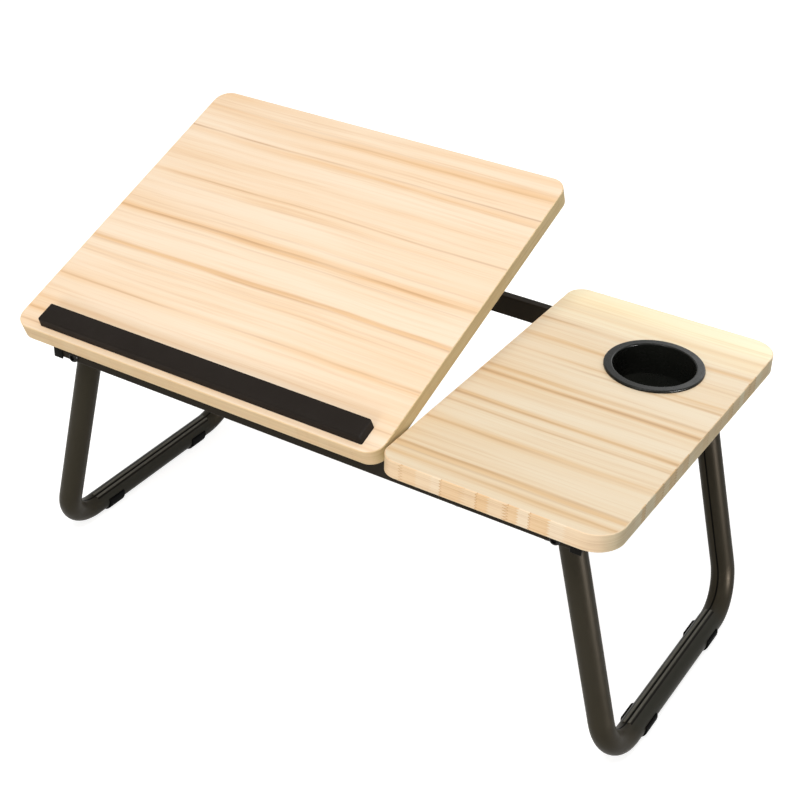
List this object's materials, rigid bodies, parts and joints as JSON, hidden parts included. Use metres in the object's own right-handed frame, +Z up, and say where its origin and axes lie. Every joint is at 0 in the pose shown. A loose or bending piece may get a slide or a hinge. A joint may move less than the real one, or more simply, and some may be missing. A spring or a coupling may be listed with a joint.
{
  "type": "portable desk",
  "caption": "Lap desk with a tilting board held up by a wire prop on notched racks, a fixed side board with a cup well, and two folding tube legs.",
  "frame": {"origin": "on the floor under the middle of the desk's box, with the legs open and the board tilted 21 degrees", "axes": "+Z up, +X towards the side board with the cup well, -Y towards the user"},
  "size_m": [0.618, 0.345, 0.3794],
  "materials": {
    "board_laminate": "pale pine laminate, satin",
    "edge_band": "pale pine edge band, satin",
    "stop_bar": "matt black",
    "cup_plastic": "black moulded plastic",
    "black_plastic": "black moulded plastic",
    "frame_steel": "black powder coat",
    "leg_steel": "satin black powder coat",
    "bolt_steel": "black oxide",
    "pad_rubber": "black rubber",
    "zinc_steel": "zinc plated",
    "hinge_steel": "nickel plated",
    "prop_wire": "black powder coat"
  },
  "bodies": {
    "frame": {"side_board": "board_laminate", "side_edge_band": "edge_band", "cup_holder": "cup_plastic", "front_rail": "frame_steel", "rear_rail": "frame_steel", "left_end_rail": "frame_steel", "right_end_rail": "frame_steel", "rail_end_caps": "black_plastic", "left_strap": "frame_steel", "right_strap": "frame_steel", "left_rack": "zinc_steel", "right_rack": "zinc_steel", "rack_rivets": "zinc_steel", "rubber_bumpers": "pad_rubber", "board_screws": "zinc_steel", "leg_bolts": "bolt_steel", "leg_spacers": "black_plastic", "leg_washers": "zinc_steel", "leg_nuts": "zinc_steel", "hinge_rail_leaves": "hinge_steel", "hinge_pins": "hinge_steel", "hinge_rail_screws": "zinc_steel"},
    "tilt_top": {"tilt_board": "board_laminate", "tilt_edge_band": "edge_band", "stop_bar": "stop_bar", "stop_bar_screws": "zinc_steel", "hinge_board_leaves": "hinge_steel", "hinge_board_screws": "zinc_steel", "prop_clamps": "zinc_steel", "prop_clamp_screws": "zinc_steel"},
    "prop": {"prop": "prop_wire"},
    "left_leg": {"left_leg": "leg_steel", "left_leg_plugs": "black_plastic", "left_front_pad": "pad_rubber", "left_rear_pad": "pad_rubber"},
    "right_leg": {"right_leg": "leg_steel", "right_leg_plugs": "black_plastic", "right_front_pad": "pad_rubber", "right_rear_pad": "pad_rubber"}
  },
  "joints": [
    {"name": "tilt", "type": "hinge", "parent": "frame", "child": "tilt_top", "pos_m": [-0.1025, -0.1553, 0.2493], "axis": [1, 0, 0], "range_deg": [-20.8, 15]},
    {"name": "prop_swing", "type": "hinge", "parent": "tilt_top", "child": "prop", "pos_m": [-0.1025, -0.03212, 0.29085], "axis": [1, 0, 0], "range_deg": [-30.1, 41.7]},
    {"name": "left_leg_fold", "type": "hinge", "parent": "frame", "child": "left_leg", "pos_m": [-0.24111, 0, 0.233], "axis": [0, -1, 0], "range_deg": [0, 103.9]},
    {"name": "right_leg_fold", "type": "hinge", "parent": "frame", "child": "right_leg", "pos_m": [0.24111, 0, 0.233], "axis": [0, 1, 0], "range_deg": [0, 103.9]}
  ],
  "couplings": [
    {"joint": "prop_swing", "follows": "tilt", "ratio": -2}
  ]
}
